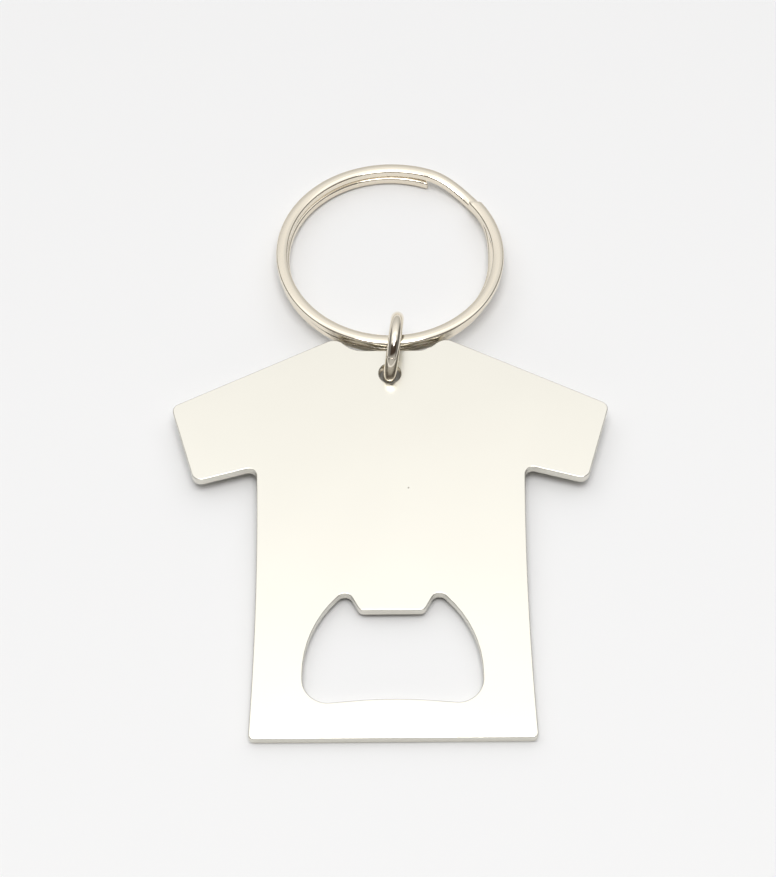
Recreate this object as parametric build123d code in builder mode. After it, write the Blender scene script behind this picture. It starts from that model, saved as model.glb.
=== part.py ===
"""A T-shirt shaped bottle opener of flat steel, with a jump ring and a two-turn split ring."""

from build123d import *
import math
import os

os.makedirs("parts", exist_ok=True)

# Everything is in millimetres. The opener lies on a table at z = 0 with its hem towards -Y and
# its collar towards +Y. The jump ring stands under the collar, so the plate slopes up to it.

# Opener plate, drawn flat: x from the centre line, y up from the hem.
sheet_thickness = 1.5
edge_rounding = 0.15
plate_slope = 2.65

hem_half_width = 18.68
waist = (17.92, 28.0)
armpit = (18.05, 39.18)
cuff_under_arm = (26.36, 36.94)
cuff_on_shoulder = (29.72, 48.31)
collar_peak = (7.40, 58.89)
neck = (5.05, 56.9)

# The mouth takes the rim of a crown cap: a bowed sill, swelling sides that run up into two ears,
# and between the ears a tooth that hooks under the cap.
mouth_half_width = 11.73
mouth_widest = 9.0
mouth_corner = 4.60
sill_middle = 5.45
ear = (5.92, 21.0)
tooth = (4.22, 17.95)

ring_hole_radius = 1.6
ring_hole_height = 53.3

# Each corner's height above the hem, with the radius it is rounded to.
corner_radii = {
    0.0: 0.7,
    cuff_under_arm[1]: 1.3,
    armpit[1]: 1.1,
    cuff_on_shoulder[1]: 1.1,
    collar_peak[1]: 2.0,
    neck[1]: 3.5,
    mouth_corner: 3.3,
    ear[1]: 1.15,
    tooth[1]: 0.9,
}

# Jump ring: round wire bent to a circle, with its two ends butted together.
jump_wire_radius = 0.9
jump_mean_radius = 4.1
jump_seam_width = 0.06
jump_seam_angle = 138.0
jump_yaw = 7.0
jump_lean = 4.0
jump_beyond_hole = 3.38
jump_offset = 0.5

# Split ring: one length of wire wound nearly twice round, the turns pressed together. Between
# its two ends the wire steps down from the upper turn to the lower one, which is a little tighter.
split_outer_radius = 15.93
split_wire_width = 1.6
split_wire_height = 1.37
split_wire_rounding = 0.5
split_turn_gap = 0.05
split_lower_inset = 0.25
split_upper_end = 38.0
split_step_arc = 30.0
split_step_sections = 7
split_tilt = 4.5
split_beyond_hole = 4.5
split_offset = 0.23

# Heights above the table, worked out from the sizes above.
slope = math.radians(plate_slope)
lean = math.radians(jump_lean)
tilt = math.radians(split_tilt)
jump_height = jump_mean_radius * math.cos(lean) + jump_wire_radius
split_mean_radius = split_outer_radius - split_wire_width / 2
turn_offset = (split_wire_height + split_turn_gap) / 2
bundle_half_height = turn_offset + split_wire_height / 2
split_far_height = (
    split_wire_rounding
    + (bundle_half_height - split_wire_rounding) * math.cos(tilt)
    + (split_wire_width / 2 - split_wire_rounding) * math.sin(tilt)
)
split_height = split_far_height + split_mean_radius * math.sin(tilt)

# Places along the table. The origin is under the middle of the whole object.
hole_from_hem = ring_hole_height * math.cos(slope)
split_from_hem = hole_from_hem + split_beyond_hole + split_mean_radius * math.cos(tilt)
near_edge = -(sheet_thickness - edge_rounding) * math.sin(slope)
far_edge = split_from_hem + split_mean_radius * math.cos(tilt) + split_wire_width / 2
hem_line = -(near_edge + far_edge) / 2

plate_plane = Plane(
    origin=(0, hem_line, 0),
    x_dir=(1, 0, 0),
    z_dir=(0, -math.sin(slope), math.cos(slope)),
)
jump_plane = Plane(
    origin=(jump_offset, hem_line + hole_from_hem + jump_beyond_hole, jump_height),
    x_dir=(math.tan(math.radians(jump_yaw)), 1, 0),
    z_dir=(1, -math.tan(math.radians(jump_yaw)), -math.tan(lean)),
)
split_plane = Plane(
    origin=(split_offset, hem_line + split_from_hem, split_height),
    x_dir=(1, 0, 0),
    z_dir=(0, math.sin(tilt), math.cos(tilt)),
)


def round_corners(sketch, height, radius):
    """Round the corners of a sketch that lie at one height above the hem."""
    nearby = 0.01
    corners = sketch.vertices().filter_by_position(Axis.Y, height - nearby, height + nearby)
    fillet(corners, radius)


def across_ring(ring_plane, angle, radius, height=0.0):
    """Plane square to a ring's wire: x points outwards and y along the ring's axis."""
    place = ring_plane.location * Rotation(0, 0, angle) * Pos(radius, 0, height)
    return Plane(place * Rotation(90, 0, 0))


# Opener plate
with BuildPart() as opener_plate:
    with BuildSketch(plate_plane) as shirt:
        with BuildLine():
            ThreePointArc((hem_half_width, 0), waist, armpit)
            Polyline(armpit, cuff_under_arm, cuff_on_shoulder, collar_peak, neck)
            mirror(about=Plane.YZ)
            Line((-hem_half_width, 0), (hem_half_width, 0))
            Line((-neck[0], neck[1]), neck)
        make_face()
        with BuildLine():
            Line((mouth_half_width, mouth_corner), (mouth_half_width, mouth_widest))
            TangentArc((mouth_half_width, mouth_widest), ear, tangent=(0, 1))
            Line(ear, tooth)
            mirror(about=Plane.YZ)
            Line((-tooth[0], tooth[1]), tooth)
            ThreePointArc(
                (-mouth_half_width, mouth_corner),
                (0, sill_middle),
                (mouth_half_width, mouth_corner),
            )
        make_face(mode=Mode.SUBTRACT)
        for corner_height, corner_radius in corner_radii.items():
            round_corners(shirt, corner_height, corner_radius)
        with Locations((0, ring_hole_height)):
            Circle(ring_hole_radius, mode=Mode.SUBTRACT)
    extrude(amount=sheet_thickness)
    broad_faces = opener_plate.faces().filter_by(plate_plane)
    fillet(broad_faces.edges(), edge_rounding)

# Jump ring, open by the width of its seam
seam_arc = math.degrees(jump_seam_width / jump_mean_radius)
with BuildPart() as jump_ring:
    with BuildSketch(across_ring(jump_plane, jump_seam_angle + seam_arc / 2, jump_mean_radius)):
        Circle(jump_wire_radius)
    revolve(axis=Axis(jump_plane.origin, jump_plane.z_dir), revolution_arc=360 - seam_arc)

# Split ring: the upper and lower turns, joined by the step
split_lower_end = split_upper_end + split_step_arc
split_lower_radius = split_mean_radius - split_lower_inset
ring_axis = Axis(split_plane.origin, split_plane.z_dir)
with BuildPart() as split_ring:
    for turn_radius, turn_height in (
        (split_mean_radius, turn_offset),
        (split_lower_radius, -turn_offset),
    ):
        with BuildSketch(across_ring(split_plane, split_lower_end, turn_radius, turn_height)):
            RectangleRounded(split_wire_width, split_wire_height, split_wire_rounding)
        revolve(axis=ring_axis, revolution_arc=360 - split_step_arc)
    for index in range(split_step_sections):
        share = index / (split_step_sections - 1)
        fall = (1 - math.cos(math.pi * share)) / 2
        step_height = turn_offset * (1 - 2 * fall)
        step_radius = split_mean_radius - split_lower_inset * fall
        step_angle = split_lower_end - split_step_arc * share
        with BuildSketch(across_ring(split_plane, step_angle, step_radius, step_height)):
            RectangleRounded(split_wire_width, split_wire_height, split_wire_rounding)
    loft()

opener_plate.part.label = "opener_plate"
jump_ring.part.label = "jump_ring"
split_ring.part.label = "split_ring"
export_step(opener_plate.part, "parts/opener_plate.step")
export_step(jump_ring.part, "parts/jump_ring.step")
export_step(split_ring.part, "parts/split_ring.step")

for piece in (opener_plate, jump_ring, split_ring):
    box = piece.part.bounding_box()
    print(piece.part.label, "from", box.min, "to", box.max, "volume", round(piece.part.volume, 2))
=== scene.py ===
# %% [markdown]
# # A shirt-shaped bottle opener on a key ring
#
# The real object is three pieces of metal: a plate stamped from stainless sheet, a jump ring of round
# wire through the hole in its collar, and a split ring wound from flattened wire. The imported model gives
# their places. Here each piece is modelled again, finely enough for its edges to catch the light, and is
# tied to the body that it moves with.

import math

import bmesh
import bpy
from mathutils import Matrix, Vector


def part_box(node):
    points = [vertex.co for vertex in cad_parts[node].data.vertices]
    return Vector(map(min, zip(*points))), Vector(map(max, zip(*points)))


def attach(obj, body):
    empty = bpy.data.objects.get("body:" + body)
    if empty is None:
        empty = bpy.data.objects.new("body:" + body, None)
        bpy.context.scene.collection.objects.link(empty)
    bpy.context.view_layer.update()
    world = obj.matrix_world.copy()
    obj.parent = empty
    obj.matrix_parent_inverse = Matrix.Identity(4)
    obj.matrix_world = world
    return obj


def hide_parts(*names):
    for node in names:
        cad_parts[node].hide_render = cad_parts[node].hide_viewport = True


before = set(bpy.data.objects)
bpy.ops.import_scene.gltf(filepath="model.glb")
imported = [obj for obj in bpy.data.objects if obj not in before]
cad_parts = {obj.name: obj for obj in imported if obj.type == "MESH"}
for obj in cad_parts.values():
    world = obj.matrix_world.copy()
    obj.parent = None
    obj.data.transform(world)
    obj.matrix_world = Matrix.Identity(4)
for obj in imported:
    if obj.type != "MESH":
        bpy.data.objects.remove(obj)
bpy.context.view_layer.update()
MM = 0.001

# %% [markdown]
# ## Where things are
#
# The opener lies on a table. The jump ring stands under its collar, so the plate slopes up a little from
# its hem, and the split ring slopes down from the jump ring to the table. Both slopes are turned about
# the X axis. Each piece is modelled lying flat at the origin, which keeps its sizes easy to read, and is
# then put in its place once and for all.

# %% Places
PLATE_SLOPE = math.radians(2.65)
SPLIT_TILT = math.radians(4.5)
JUMP_YAW = math.radians(7.0)
JUMP_LEAN = math.radians(4.0)
SHEET = 1.5 * MM
EDGE_ROUNDING = 0.15 * MM

plate_low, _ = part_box("opener_plate")
jump_low, jump_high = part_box("jump_ring")
split_low, split_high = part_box("split_ring")
hem_line = plate_low.y + (SHEET - EDGE_ROUNDING) * math.sin(PLATE_SLOPE)
jump_centre = (jump_low + jump_high) / 2
print("hem line", round(hem_line / MM, 3), "jump ring centre", [round(c / MM, 3) for c in jump_centre])


# %% [markdown]
# ## Helpers for modelling
#
# Operators act on whatever is selected, so every piece starts from nothing selected. A finished piece is
# moved by its mesh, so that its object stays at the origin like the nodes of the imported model.


# %% Selecting and placing
def start_afresh():
    """Leave edit mode and select nothing."""
    if bpy.context.mode != "OBJECT":
        bpy.ops.object.mode_set(mode="OBJECT")
    bpy.ops.object.select_all(action="DESELECT")


def settle(piece, place):
    """Put a flat-modelled piece in its place, with the move kept in its mesh."""
    start_afresh()
    piece.select_set(True)
    bpy.context.view_layer.objects.active = piece
    piece.matrix_world = place
    bpy.ops.object.transform_apply(location=True, rotation=True, scale=True)


def apply_all(piece):
    """Apply every modifier of a piece, in order."""
    start_afresh()
    piece.select_set(True)
    bpy.context.view_layer.objects.active = piece
    for modifier in list(piece.modifiers):
        bpy.ops.object.modifier_apply(modifier=modifier.name)


def select_in_edit(piece, kind, wanted):
    """In edit mode, select only the vertices, edges or faces that pass a test."""
    bpy.ops.mesh.select_mode(type=kind)
    bpy.ops.mesh.select_all(action="DESELECT")
    shape = bmesh.from_edit_mesh(piece.data)
    parts = {"VERT": shape.verts, "EDGE": shape.edges, "FACE": shape.faces}[kind]
    for part in parts:
        if wanted(part):
            part.select_set(True)
    shape.select_flush_mode()
    bmesh.update_edit_mesh(piece.data)


def count_triangles(piece):
    """How many triangles a piece's mesh has."""
    piece.data.calc_loop_triangles()
    return len(piece.data.loop_triangles)


# %% [markdown]
# ## Outlines with rounded corners
#
# A stamped outline is a few straight or nearly straight runs with a radius at each corner. It is written
# down as its sharp corners, each with a radius, and the arcs are worked out. A gentle curve such as the
# hollow side of the shirt is one more corner with a very large radius. The outline is then drawn as by
# hand: one vertex is extruded from point to point and the loop is filled.

# %% Outlines
ARC_STEP = math.radians(7.5)
LONGEST_STEP = 1.6


def rounded(corners):
    """Points in millimetres round a closed outline of (x, y, radius) corners."""
    points = []
    for index, (x, y, radius) in enumerate(corners):
        here = Vector((x, y))
        back = (Vector(corners[index - 1][:2]) - here).normalized()
        ahead = (Vector(corners[(index + 1) % len(corners)][:2]) - here).normalized()
        half_turn = (math.pi - back.angle(ahead)) / 2
        centre = here + (back + ahead).normalized() * radius / math.cos(half_turn)
        arm = here + back * radius * math.tan(half_turn) - centre
        turn = 2 * half_turn * (1 if back.cross(ahead) < 0 else -1)
        steps = math.ceil(max(2 * half_turn / ARC_STEP, 2 * half_turn * radius / LONGEST_STEP))
        for step in range(steps + 1):
            points.append(centre + Matrix.Rotation(turn * step / steps, 2) @ arm)
    return points


def mirrored(half):
    """A whole outline from the corners of its right half, those on the centre line once only."""
    left = [(-x, y, radius) for x, y, radius in reversed(half) if x > 0]
    return half + left


def draw_outline(name, points):
    """A flat face, drawn by extruding one vertex round the outline."""
    start_afresh()
    bpy.ops.mesh.primitive_plane_add(size=MM)
    piece = bpy.context.object
    piece.name = name
    bpy.ops.object.mode_set(mode="EDIT")
    bpy.ops.mesh.select_mode(type="VERT")
    bpy.ops.mesh.merge(type="CENTER")
    path = [Vector((p.x, p.y, 0)) * MM for p in points]
    bpy.ops.transform.translate(value=path[0])
    for here, there in zip(path, path[1:] + path[:1]):
        bpy.ops.mesh.extrude_region_move(TRANSFORM_OT_translate={"value": there - here})
    bpy.ops.mesh.select_all(action="SELECT")
    bpy.ops.mesh.remove_doubles(threshold=0.001 * MM)
    bpy.ops.mesh.select_all(action="SELECT")
    bpy.ops.mesh.edge_face_add()
    return piece


def thicken(low, high):
    """In edit mode, make the drawn face a slab between two heights."""
    bpy.ops.mesh.select_all(action="SELECT")
    bpy.ops.transform.translate(value=(0, 0, low))
    bpy.ops.mesh.extrude_region_move(TRANSFORM_OT_translate={"value": (0, 0, high - low)})
    bpy.ops.mesh.select_all(action="SELECT")
    bpy.ops.mesh.normals_make_consistent(inside=False)
    bpy.ops.object.mode_set(mode="OBJECT")


# %% [markdown]
# ## The plate
#
# The plate is blanked from 1.5 mm stainless sheet in the outline of a T-shirt. The same press tool
# punches the ring hole and the mouth that takes the crown cap. The mouth has a bowed sill, sides that
# swell out, and a tooth between two ears. Afterwards the blanks tumble with ceramic stones, which takes
# off every sharp edge. So the model goes the same way: a slab, two punches taken out of it by Boolean
# modifiers, and a bevel on every sharp edge.

# %% Plate sizes, in millimetres from the middle of the hem
shirt_half = [
    (18.68, 0.0, 0.7),
    (17.65, 19.5, 470.0),
    (18.05, 39.18, 1.1),
    (26.36, 36.94, 1.3),
    (29.72, 48.31, 1.1),
    (7.40, 58.89, 2.0),
    (5.05, 56.9, 3.5),
]
mouth_half = [
    (0.0, 5.72, 62.0),
    (11.73, 4.70, 3.3),
    (11.73, 15.40, 15.3),
    (5.955, 21.095, 1.15),
    (4.22, 17.95, 0.9),
]
HOLE_RADIUS = 1.5
HOLE_HEIGHT = 53.3
PUNCH_REACH = 2 * MM

# %% Blank the plate
plate = draw_outline("steel_plate", rounded(mirrored(shirt_half)))
thicken(0, SHEET)
mouth_punch = draw_outline("mouth_punch", rounded(mirrored(mouth_half)))
thicken(-PUNCH_REACH, SHEET + PUNCH_REACH)
start_afresh()
bpy.ops.mesh.primitive_cylinder_add(
    vertices=72,
    radius=HOLE_RADIUS * MM,
    depth=3 * SHEET,
    location=(0, HOLE_HEIGHT * MM, SHEET / 2),
)
hole_punch = bpy.context.object
for punch in (mouth_punch, hole_punch):
    cut = plate.modifiers.new("punch", "BOOLEAN")
    cut.operation = "DIFFERENCE"
    cut.solver = "EXACT"
    cut.object = punch
apply_all(plate)
for punch in (mouth_punch, hole_punch):
    bpy.data.objects.remove(punch)

# %% Tumble its edges
SHARP_EDGE = math.radians(60)
ROUNDING_SEGMENTS = 4

start_afresh()
plate.select_set(True)
bpy.context.view_layer.objects.active = plate
bpy.ops.object.shade_smooth()
tumbled = plate.modifiers.new("tumbled edges", "BEVEL")
tumbled.width = EDGE_ROUNDING
tumbled.segments = ROUNDING_SEGMENTS
tumbled.limit_method = "ANGLE"
tumbled.angle_limit = SHARP_EDGE
tumbled.harden_normals = True
tumbled.use_clamp_overlap = False
apply_all(plate)
settle(plate, Matrix.Translation((0, hem_line, 0)) @ Matrix.Rotation(PLATE_SLOPE, 4, "X"))
print("plate", count_triangles(plate), "triangles")

# %% [markdown]
# ## The jump ring
#
# A jump ring is a length of round wire bent to a circle until its cut ends meet. It is made here by
# spinning the wire's round section about the ring's axis, stopping just short of a full turn, and
# breaking the sharp rims of the two ends, which leaves the fine line of the seam.

# %% Jump ring sizes
JUMP_MEAN_RADIUS = 4.1 * MM
JUMP_WIRE_RADIUS = 0.9 * MM
SEAM_WIDTH = 0.06 * MM
SEAM_ANGLE = math.radians(138)
END_BREAK = 0.06 * MM
END_SHARES = (0.15, 0.35, 0.5)
END_RISE = 0.65
SMOOTH_ANGLE = math.radians(50)
WIRE_SIDES = 40
BEND_STEPS = 180

# %% Bend the jump ring
seam_arc = SEAM_WIDTH / JUMP_MEAN_RADIUS
start_afresh()
bpy.ops.mesh.primitive_circle_add(vertices=WIRE_SIDES, radius=JUMP_WIRE_RADIUS, fill_type="NGON")
jump = bpy.context.object
jump.name = "jump_ring_wire"
bpy.ops.object.mode_set(mode="EDIT")
bpy.ops.mesh.select_all(action="SELECT")
bpy.ops.transform.rotate(value=math.pi / 2, orient_axis="X", center_override=(0, 0, 0))
bpy.ops.transform.translate(value=(JUMP_MEAN_RADIUS, 0, 0))
bpy.ops.mesh.spin(
    steps=BEND_STEPS, angle=2 * math.pi - seam_arc, center=(0, 0, 0), axis=(0, 0, 1)
)
bpy.ops.mesh.select_all(action="SELECT")
bpy.ops.mesh.remove_doubles(threshold=0.001 * MM)
print("jump ring bent in", BEND_STEPS, "steps, open by", round(SEAM_WIDTH / MM, 3), "mm")


def close_ends(piece, width):
    """Fill the open ends of a bent wire and draw each fill out to a rounded rim."""
    bpy.ops.mesh.select_mode(type="EDGE")
    bpy.ops.mesh.select_all(action="DESELECT")
    bpy.ops.mesh.select_non_manifold(extend=False)
    if any(edge.select for edge in bmesh.from_edit_mesh(piece.data).edges):
        bpy.ops.mesh.edge_face_add()
    bpy.ops.mesh.select_all(action="SELECT")
    bpy.ops.mesh.normals_make_consistent(inside=False)
    for share in END_SHARES:
        select_in_edit(piece, "FACE", lambda face: len(face.verts) > 4)
        bpy.ops.mesh.inset(
            thickness=width * share, depth=width * (END_RISE - share), use_even_offset=False
        )
    bpy.ops.object.mode_set(mode="OBJECT")


close_ends(jump, END_BREAK)
bpy.ops.object.shade_smooth_by_angle(angle=SMOOTH_ANGLE)

# %% Stand the jump ring up through the hole
ring_axis = Vector((1, -math.tan(JUMP_YAW), -math.tan(JUMP_LEAN))).normalized()
along = Vector((math.tan(JUMP_YAW), 1, 0)).normalized()
upward = ring_axis.cross(along)
standing = Matrix((along, upward, ring_axis)).transposed().to_4x4()
turned = Matrix.Rotation(SEAM_ANGLE + seam_arc / 2, 4, "Z")
settle(jump, Matrix.Translation(jump_centre) @ standing @ turned)
print("jump ring", count_triangles(jump), "triangles")

# %% [markdown]
# ## The split ring
#
# A split ring is one length of flattened wire wound nearly twice round a mandrel, so that its turns press
# together like a spring's. The upper turn ends in a slanted cut. Just before it comes round to that end
# the wire steps down and carries on underneath as the lower turn, which is a touch tighter. The wire's
# section is crowned above and below, which is what draws a soft bright band along each turn. The section
# is drawn once and then carried along the winding in small steps: extrude, turn, drop, draw in. A used
# ring has sprung a little out of round, its wire bulges at the step, and its lower turn gives way where
# the jump ring holds it.

# %% Split ring sizes, in millimetres and degrees of winding unless they say otherwise
SPLIT_OUTER_RADIUS = 15.93
WIRE_WIDTH = 1.6
WIRE_HEIGHT = 1.37
TURN_GAP = 0.05
LOWER_INSET = 0.68
DRAW_IN_ARC = 42.0
UPPER_END = 38.0
STEP_ARC = 30.0
CROWN_RADIUS = 1.5
CROWN_SLOPE = math.radians(24)
SHOULDER_RADIUS = 0.3
WIRE_STEP = 2.0
SPLIT_END_BREAK = 0.2 * MM
END_SLANT = math.radians(38)
CUT_REACH = 3.0 * MM
SLIVER = 0.01 * MM
STEP_SPREAD = 0.35
SPREAD_ARC = 75.0
END_TUCK = 0.08
TUCK_ARC = 45.0
JUMP_GIVE = 0.3
GIVE_ARC = 60.0
QUARTER_TURN = 90.0
OUT_OF_ROUND = (0.987, 1.0155, 1.0)
SPLIT_ASIDE = -0.06 * MM
SPLIT_BEYOND = 0.16 * MM

turn_offset = (WIRE_HEIGHT + TURN_GAP) / 2
split_radius = SPLIT_OUTER_RADIUS - WIRE_WIDTH / 2
half_width = WIRE_WIDTH / 2
half_height = WIRE_HEIGHT / 2

# %% The wire's section
crown_corner = half_height + CROWN_RADIUS * (1 / math.cos(CROWN_SLOPE) - 1)
shoulder_corner = crown_corner - half_width * math.tan(CROWN_SLOPE)
wire_half = [
    (0.0, crown_corner, CROWN_RADIUS),
    (half_width, shoulder_corner, SHOULDER_RADIUS),
    (half_width, -shoulder_corner, SHOULDER_RADIUS),
    (0.0, -crown_corner, CROWN_RADIUS),
]
wire_points = rounded(mirrored(wire_half))
print("wire section", len(wire_points), "points")


# %% How far out and how high the wire runs
def ease(share):
    """A share of a change, starting and ending gently."""
    return (1 - math.cos(math.pi * min(max(share, 0), 1))) / 2


def wound(angle):
    """Radius and height of the wire's middle at an angle wound on from the upper end."""
    fall = ease((angle - (360 - STEP_ARC)) / STEP_ARC)
    past_end = angle - 360
    draw_in = LOWER_INSET * ease(past_end / DRAW_IN_ARC) * (1 - past_end / (360 - STEP_ARC))
    tuck = END_TUCK * (1 - ease(angle / TUCK_ARC))
    spread = STEP_SPREAD * ease((angle - 360 + SPREAD_ARC) / SPREAD_ARC)
    spread *= 1 - ease(past_end / DRAW_IN_ARC)
    past_jump_ring = past_end - UPPER_END - QUARTER_TURN
    give = JUMP_GIVE * (1 - ease(abs(past_jump_ring) / GIVE_ARC))
    return split_radius - draw_in - tuck + spread + give, turn_offset * (1 - 2 * fall)


# %% Draw the section and stand it up at the upper end
split = draw_outline("split_ring_wire", wire_points)
bpy.ops.mesh.select_all(action="SELECT")
bpy.ops.transform.rotate(value=math.pi / 2, orient_axis="X", center_override=(0, 0, 0))
radius_here, height_here = wound(0)
bpy.ops.transform.translate(value=(radius_here * MM, 0, height_here * MM))

# %% Wind it on, clockwise as seen from above, from the upper end to the lower end
whole_wind = 2 * 360 - STEP_ARC
steps = round(whole_wind / WIRE_STEP)
for step in range(1, steps + 1):
    angle = math.radians(-WIRE_STEP * (step - 1))
    radius_next, height_next = wound(WIRE_STEP * step)
    draw_in = radius_next - radius_here
    drop = height_next - height_here
    slide = (draw_in * math.cos(angle) * MM, draw_in * math.sin(angle) * MM, drop * MM)
    bpy.ops.mesh.extrude_region_move(TRANSFORM_OT_translate={"value": slide})
    bpy.ops.transform.rotate(
        value=math.radians(WIRE_STEP), orient_axis="Z", center_override=(0, 0, 0)
    )
    radius_here, height_here = radius_next, height_next


# %% Cut both ends on the slant
def cut_end(piece, end_angle, side, beyond):
    """Cut a wire end on the slant; side is 1 above and -1 below, beyond the winding's sign there."""
    spoke = Vector((math.cos(end_angle), math.sin(end_angle), 0))
    onward = Vector((-spoke.y, spoke.x, 0)) * beyond

    def near_end(face):
        reach = face.calc_center_median() - spoke * split_radius * MM
        return reach.z * side > 0 and reach.dot(onward) < 0 and reach.xy.length < CUT_REACH

    select_in_edit(piece, "FACE", near_end)
    bpy.ops.mesh.bisect(
        plane_co=spoke * (split_radius - half_width) * MM,
        plane_no=(onward + spoke * math.tan(END_SLANT)).normalized(),
        use_fill=True,
        clear_outer=True,
    )
    bpy.ops.mesh.select_mode(type="VERT")
    bpy.ops.mesh.select_all(action="SELECT")
    bpy.ops.mesh.remove_doubles(threshold=SLIVER)


cut_end(split, 0.0, 1, 1)
cut_end(split, math.radians(-whole_wind), -1, -1)
close_ends(split, SPLIT_END_BREAK)
bpy.ops.object.shade_smooth_by_angle(angle=SMOOTH_ANGLE)
print("split ring", count_triangles(split), "triangles")

# %% Hang the split ring in the jump ring
CAD_ROUNDING = 0.5
corner_out = half_width - CAD_ROUNDING
corner_up = turn_offset + half_height - CAD_ROUNDING
cos_tilt = math.cos(SPLIT_TILT)
sin_tilt = math.sin(SPLIT_TILT)
reach_far = (split_radius + corner_out) * cos_tilt + corner_up * sin_tilt + CAD_ROUNDING
reach_up = (split_radius + corner_out) * sin_tilt + corner_up * cos_tilt + CAD_ROUNDING
split_middle = (split_low.x + split_high.x) / 2
split_centre = Vector((split_middle, split_high.y - reach_far * MM, split_high.z - reach_up * MM))
split_centre += Vector((SPLIT_ASIDE, SPLIT_BEYOND, 0))
lean_down = Matrix.Rotation(-SPLIT_TILT, 4, "X")
sprung = Matrix.Diagonal((*OUT_OF_ROUND, 1.0))
start_turn = Matrix.Rotation(math.radians(UPPER_END), 4, "Z")
settle(split, Matrix.Translation(split_centre) @ lean_down @ sprung @ start_turn)
print("split ring centre", [round(c / MM, 3) for c in split_centre])

# %% [markdown]
# ## Joining the pieces to the frame
#
# Each piece rides on the body whose CAD node it stands for, so it swings with that body's joint.

# %% Tie each piece to its body
for piece, body, slot in (
    (plate, "opener_plate", "plate_steel"),
    (jump, "jump_ring", "ring_nickel"),
    (split, "split_ring", "ring_nickel"),
):
    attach(piece, body)
    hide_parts(body)

# %% [markdown]
# ## Materials
#
# Both finishes are bare metal, so they have hardly any colour of their own: what the eye sees is the
# room. A metal needs a base colour, a roughness and the faint unevenness that its making left.


# %% Node helpers
def linear(hex_colour):
    """Linear RGBA of an sRGB hex colour."""
    channels = [int(hex_colour[i : i + 2], 16) / 255 for i in (1, 3, 5)]
    return (*[c / 12.92 if c <= 0.04045 else ((c + 0.055) / 1.055) ** 2.4 for c in channels], 1)


def add(tree, kind, links=(), **settings):
    """Add a node with its settings and links; a link is (input name, source socket)."""
    node = tree.nodes.new(kind)
    for name, value in settings.items():
        if name in node.inputs:
            node.inputs[name].default_value = value
        else:
            setattr(node, name, value)
    for name, source in links:
        tree.links.new(source, node.inputs[name])
    return node


def new_material(name):
    """An empty node material and its tree."""
    material = bpy.data.materials.new(name)
    material.use_nodes = True
    material.node_tree.nodes.clear()
    return material, material.node_tree


MIX_A, MIX_B, MIX_RESULT = 6, 7, 2


def noise_per_mm(size_mm):
    """Noise scale on Object coordinates, in metres, for features of a size in millimetres."""
    return 1 / (size_mm * MM)


# %% [markdown]
# ### Tumbled stainless steel
#
# Stainless sheet (AISI 430 or 304) is a slightly warm grey metal. Tumbling with ceramic media leaves
# a bright satin: it mirrors the room, but blurred to soft blobs. The blur is uneven at the scale of the
# media's strokes, about half a millimetre, and over a centimetre the finish varies a little. Long thin
# marks lie in a few directions, and here and there is a small dull dint. All of them are very faint.


# %% Tumbled stainless steel
STROKE_TURNS = [math.radians(turn) for turn in (12, 74, 131)]
STROKE_SLENDERNESS = 9.0
DINT_SPACING = 9.0
DINT_RADIUS = 0.16
SATIN = (0.2, 0.26)
TEXTURE_DEPTH = 0.004 * MM


def tumbled_stainless():
    material, tree = new_material("tumbled_stainless_steel")
    place = add(tree, "ShaderNodeTexCoord")
    strokes = add(
        tree, "ShaderNodeTexNoise", [("Vector", place.outputs["Object"])],
        Scale=noise_per_mm(0.6), Detail=4.0, Roughness=0.6,
    )
    patches = add(
        tree, "ShaderNodeTexNoise", [("Vector", place.outputs["Object"])],
        Scale=noise_per_mm(11), Detail=2.0,
    )
    blur = add(tree, "ShaderNodeMapRange", [("Value", patches.outputs["Fac"])])
    blur.inputs["To Min"].default_value, blur.inputs["To Max"].default_value = SATIN
    texture = add(
        tree, "ShaderNodeBump", [("Height", strokes.outputs["Fac"])],
        Strength=0.05, Distance=TEXTURE_DEPTH,
    )
    for turn in STROKE_TURNS:
        lie = add(tree, "ShaderNodeMapping", [("Vector", place.outputs["Object"])])
        lie.inputs["Rotation"].default_value = (0, 0, turn)
        lie.inputs["Scale"].default_value = (1, STROKE_SLENDERNESS, 1)
        stroke = add(
            tree, "ShaderNodeTexNoise", [("Vector", lie.outputs["Vector"])],
            Scale=noise_per_mm(3.0), Detail=3.0,
        )
        texture = add(
            tree, "ShaderNodeBump",
            [("Height", stroke.outputs["Fac"]), ("Normal", texture.outputs["Normal"])],
            Strength=0.06, Distance=TEXTURE_DEPTH,
        )
    dints = add(
        tree, "ShaderNodeTexVoronoi", [("Vector", place.outputs["Object"])],
        Scale=noise_per_mm(DINT_SPACING),
    )
    nearness = add(tree, "ShaderNodeMapRange", [("Value", dints.outputs["Distance"])])
    nearness.inputs["From Min"].default_value = DINT_RADIUS / DINT_SPACING / 2
    nearness.inputs["From Max"].default_value = DINT_RADIUS / DINT_SPACING
    nearness.inputs["To Min"].default_value = 1.0
    nearness.inputs["To Max"].default_value = 0.0
    tint = add(
        tree, "ShaderNodeMix", [("Factor", nearness.outputs["Result"])], data_type="RGBA",
    )
    tint.inputs[MIX_A].default_value = linear("#E2DFD5")
    tint.inputs[MIX_B].default_value = linear("#A9A49A")
    shader = add(
        tree, "ShaderNodeBsdfPrincipled",
        [
            ("Base Color", tint.outputs[MIX_RESULT]),
            ("Roughness", blur.outputs["Result"]),
            ("Normal", texture.outputs["Normal"]),
        ],
        Metallic=1.0,
    )
    add(tree, "ShaderNodeOutputMaterial", [("Surface", shader.outputs["BSDF"])])
    return material


# %% [markdown]
# ### Bright nickel plate
#
# The rings are steel wire with bright nickel plate. It is warmer than chrome and nearly a mirror; only
# the die lines of the drawn wire and the barrel plating soften it.


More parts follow.
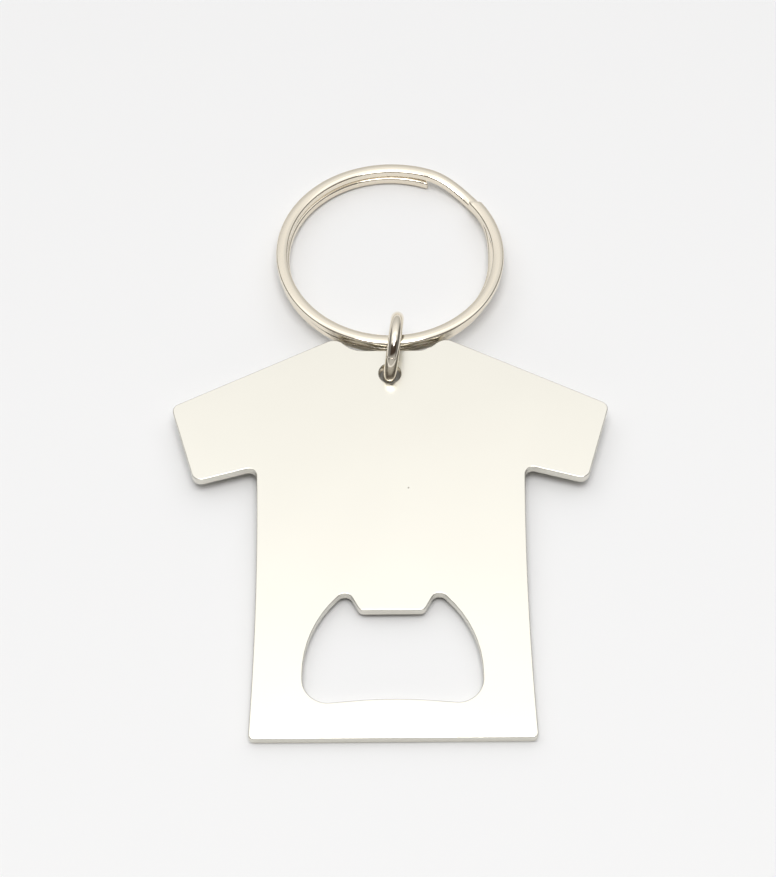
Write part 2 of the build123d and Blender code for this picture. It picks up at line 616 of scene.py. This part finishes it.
# %% Bright nickel plate
POLISH = (0.07, 0.14)
PEEL_DEPTH = 0.01 * MM


def bright_nickel():
    material, tree = new_material("bright_nickel_plate")
    place = add(tree, "ShaderNodeTexCoord")
    orange_peel = add(
        tree, "ShaderNodeTexNoise", [("Vector", place.outputs["Object"])],
        Scale=noise_per_mm(0.5), Detail=3.0,
    )
    softness = add(tree, "ShaderNodeMapRange", [("Value", orange_peel.outputs["Fac"])])
    softness.inputs["To Min"].default_value, softness.inputs["To Max"].default_value = POLISH
    texture = add(
        tree, "ShaderNodeBump", [("Height", orange_peel.outputs["Fac"])],
        Strength=0.1, Distance=PEEL_DEPTH,
    )
    shader = add(
        tree, "ShaderNodeBsdfPrincipled",
        [("Roughness", softness.outputs["Result"]), ("Normal", texture.outputs["Normal"])],
        Metallic=1.0,
    )
    shader.inputs["Base Color"].default_value = linear("#F0E7D6")
    add(tree, "ShaderNodeOutputMaterial", [("Surface", shader.outputs["BSDF"])])
    return material


# %% Give each piece its finish
steel = tumbled_stainless()
nickel = bright_nickel()
for piece, finish in ((plate, steel), (jump, nickel), (split, nickel)):
    piece.data.materials.clear()
    piece.data.materials.append(finish)

# %% [markdown]
# ## Table, light and camera
#
# Polished metal shows whatever stands round it, so the studio matters as much as the steel. The table is
# plain and pale. The light is a white tent: bright overhead and beyond the object, softer near the
# horizon and at the sides, with the dark opening that the camera looks through. A round soft box
# overhead keeps the shadows narrow. The tent's brightness is given at angles that rise from the horizon
# beyond the object, at 0 degrees, over the top, at 90, to the horizon behind the camera, at 180.

# %% Table
start_afresh()
bpy.ops.mesh.primitive_plane_add(size=4)
table = bpy.context.object
table.name = "pale_table"
table_finish, table_tree = new_material("pale_matt_table")
table_shader = add(table_tree, "ShaderNodeBsdfPrincipled", Roughness=0.9)
table_shader.inputs["Base Color"].default_value = linear("#F1F1F1")
table_shader.inputs["Specular IOR Level"].default_value = 0.1
add(table_tree, "ShaderNodeOutputMaterial", [("Surface", table_shader.outputs["BSDF"])])
table.data.materials.append(table_finish)


# %% Light tent
TENT_STRENGTH = 2.6
SIDES_FROM = (0.6, 0.85)
SHADED_SIDE = (0.2, 0.7)
SHADED_SHARE = 0.75


def light_tent():
    """A world that is bright overhead and beyond, and dark where the camera looks in."""
    world = bpy.data.worlds.new("light_tent")
    bpy.context.scene.world = world
    world.use_nodes = True
    tree = world.node_tree
    tree.nodes.clear()
    way = add(tree, "ShaderNodeTexCoord")
    parts = add(tree, "ShaderNodeSeparateXYZ", [("Vector", way.outputs["Generated"])])
    turn = add(tree, "ShaderNodeMath", operation="ARCTAN2")
    tree.links.new(parts.outputs["Z"], turn.inputs[0])
    tree.links.new(parts.outputs["Y"], turn.inputs[1])
    half_turns = add(tree, "ShaderNodeMath", operation="DIVIDE")
    tree.links.new(turn.outputs["Value"], half_turns.inputs[0])
    half_turns.inputs[1].default_value = math.pi
    arch = add(tree, "ShaderNodeValToRGB", [("Fac", half_turns.outputs["Value"])])
    ramp = arch.color_ramp
    stops = (
        (0, "#818181"),
        (30, "#919191"),
        (48, "#A4A4A4"),
        (58, "#A7A7A7"),
        (63, "#AEAEAE"),
        (67, "#B4B4B4"),
        (71, "#C6C6C6"),
        (76, "#C6C6C6"),
        (84, "#B0B0B0"),
        (98, "#B0B0B0"),
        (105, "#2A2420"),
        (142, "#2A2420"),
        (153, "#7C7C7C"),
        (180, "#808080"),
    )
    while len(ramp.elements) < len(stops):
        ramp.elements.new(1.0)
    for element, (angle, colour) in zip(ramp.elements, stops):
        element.position = angle / 180
        element.color = linear(colour)
    aside = add(tree, "ShaderNodeMath", operation="ABSOLUTE")
    tree.links.new(parts.outputs["X"], aside.inputs[0])
    to_side = add(tree, "ShaderNodeMapRange", [("Value", aside.outputs["Value"])])
    to_side.interpolation_type = "SMOOTHSTEP"
    to_side.inputs["From Min"].default_value, to_side.inputs["From Max"].default_value = SIDES_FROM
    mixed = add(tree, "ShaderNodeMix", [("Factor", to_side.outputs["Result"])], data_type="RGBA")
    tree.links.new(arch.outputs["Color"], mixed.inputs[MIX_A])
    mixed.inputs[MIX_B].default_value = linear("#505050")
    window_side = add(tree, "ShaderNodeMapRange", [("Value", parts.outputs["X"])])
    shade = window_side.inputs
    shade["From Min"].default_value, shade["From Max"].default_value = SHADED_SIDE
    shade["To Min"].default_value = TENT_STRENGTH
    shade["To Max"].default_value = SHADED_SHARE * TENT_STRENGTH
    tent = add(
        tree, "ShaderNodeBackground",
        [("Color", mixed.outputs[MIX_RESULT]), ("Strength", window_side.outputs["Result"])],
    )
    add(tree, "ShaderNodeOutputWorld", [("Surface", tent.outputs["Background"])])


light_tent()

# %% Soft box overhead
SOFT_BOX_SIZE = 0.5
SOFT_BOX_HEIGHT = 0.9
SOFT_BOX_WATTS = 4.1
SOFT_BOX_FORWARD = 0.16

soft_box_data = bpy.data.lights.new("soft_box", "AREA")
soft_box_data.shape = "DISK"
soft_box_data.size = SOFT_BOX_SIZE
soft_box_data.energy = SOFT_BOX_WATTS
soft_box = bpy.data.objects.new("soft_box", soft_box_data)
soft_box.location = (0, -SOFT_BOX_FORWARD, SOFT_BOX_HEIGHT)
bpy.context.scene.collection.objects.link(soft_box)
print("soft box", SOFT_BOX_WATTS, "W at", SOFT_BOX_HEIGHT, "m")

# %% Camera
CAMERA_ELEVATION = math.radians(60)
CAMERA_TURN = math.radians(-0.45)
CAMERA_DISTANCE = 0.4012
LOOK_BEYOND_HEM = 45.17 * MM
LOOK_ASIDE = -0.335 * MM

camera_data = bpy.data.cameras.new("camera")
camera_data.lens = 120.85
camera_data.sensor_width = 36
camera_data.clip_start = 0.01
camera = bpy.data.objects.new("camera", camera_data)
bpy.context.scene.collection.objects.link(camera)
bpy.context.scene.camera = camera
look_at = Vector((LOOK_ASIDE, hem_line + LOOK_BEYOND_HEM, 0))
backward = Matrix.Rotation(CAMERA_TURN, 3, "Z") @ Vector(
    (0, -math.cos(CAMERA_ELEVATION), math.sin(CAMERA_ELEVATION))
)
camera.location = look_at + backward * CAMERA_DISTANCE
camera.rotation_euler = (-backward).to_track_quat("-Z", "Y").to_euler()
print("camera at", [round(c, 4) for c in camera.location])

# %% Plain colour, no film look
bpy.context.scene.view_settings.view_transform = "Standard"
bpy.context.scene.view_settings.look = "None"
